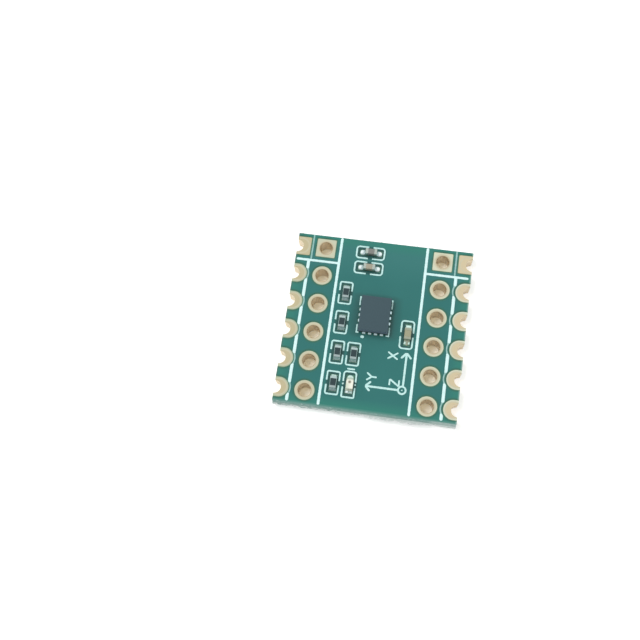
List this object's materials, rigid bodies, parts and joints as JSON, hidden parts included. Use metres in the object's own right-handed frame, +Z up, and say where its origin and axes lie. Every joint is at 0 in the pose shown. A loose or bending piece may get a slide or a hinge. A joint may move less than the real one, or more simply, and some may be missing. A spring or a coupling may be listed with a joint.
{
  "type": "motion sensor breakout board",
  "caption": "Small square sensor board: green coated laminate with plated pin holes, half-hole contacts along two edges, chip parts, a lamp and a flat sensor package.",
  "frame": {"origin": "on the plane the board lies on, under the middle of the board", "axes": "+X across the board towards the right row of edge contacts, +Y along the pin rows towards the square pads, +Z up through the component side"},
  "size_m": [0.0152, 0.0154, 0.0025],
  "materials": {
    "laminate": "sawn and snapped glass-fibre edge, pale and dry",
    "green_coat": "blue-green solder-resist lacquer, soft gloss",
    "pale_ink": "thin pale ink, matt",
    "gold_plating": "thin pale immersion gold over copper, satin",
    "solder": "bright reflowed tin solder",
    "tinned_ends": "dull tin plating",
    "white_ceramic": "fired alumina, matt",
    "black_glaze": "dark overglaze, satin",
    "tan_ceramic": "fired tan ceramic, matt",
    "lamp_white": "white resin laminate",
    "lamp_resin": "cream lamp resin, milky",
    "lamp_crystal": "small brown crystal",
    "package_base": "dark package laminate",
    "moulding_compound": "grey-black moulding compound, fine matt",
    "silicon": "ground silicon"
  },
  "bodies": {
    "root": {"board_core": "laminate", "capacitor_1_core": "tan_ceramic", "capacitor_1_ends": "tinned_ends", "capacitor_2_core": "tan_ceramic", "capacitor_2_ends": "tinned_ends", "capacitor_3_core": "tan_ceramic", "capacitor_3_ends": "tinned_ends", "coat_bottom": "green_coat", "coat_top": "green_coat", "component_pads": "gold_plating", "component_solder": "solder", "edge_contact_left_1": "gold_plating", "edge_contact_left_2": "gold_plating", "edge_contact_left_3": "gold_plating", "edge_contact_left_4": "gold_plating", "edge_contact_left_5": "gold_plating", "edge_contact_left_6": "gold_plating", "edge_contact_right_1": "gold_plating", "edge_contact_right_2": "gold_plating", "edge_contact_right_3": "gold_plating", "edge_contact_right_4": "gold_plating", "edge_contact_right_5": "gold_plating", "edge_contact_right_6": "gold_plating", "lamp_base": "lamp_white", "lamp_die": "lamp_crystal", "lamp_ends": "tinned_ends", "lamp_lens": "lamp_resin", "plated_hole_left_1": "gold_plating", "plated_hole_left_2": "gold_plating", "plated_hole_left_3": "gold_plating", "plated_hole_left_4": "gold_plating", "plated_hole_left_5": "gold_plating", "plated_hole_left_6": "gold_plating", "plated_hole_right_1": "gold_plating", "plated_hole_right_2": "gold_plating", "plated_hole_right_3": "gold_plating", "plated_hole_right_4": "gold_plating", "plated_hole_right_5": "gold_plating", "plated_hole_right_6": "gold_plating", "print_lines": "pale_ink", "resistor_1_core": "white_ceramic", "resistor_1_ends": "tinned_ends", "resistor_1_glaze": "black_glaze", "resistor_2_core": "white_ceramic", "resistor_2_ends": "tinned_ends", "resistor_2_glaze": "black_glaze", "resistor_3_core": "white_ceramic", "resistor_3_ends": "tinned_ends", "resistor_3_glaze": "black_glaze", "resistor_4_core": "white_ceramic", "resistor_4_ends": "tinned_ends", "resistor_4_glaze": "black_glaze", "resistor_5_core": "white_ceramic", "resistor_5_ends": "tinned_ends", "resistor_5_glaze": "black_glaze", "sensor_base": "package_base", "sensor_logic_die": "silicon", "sensor_motion_die": "silicon", "sensor_moulding": "moulding_compound", "sensor_solder": "solder"}
  },
  "joints": []
}
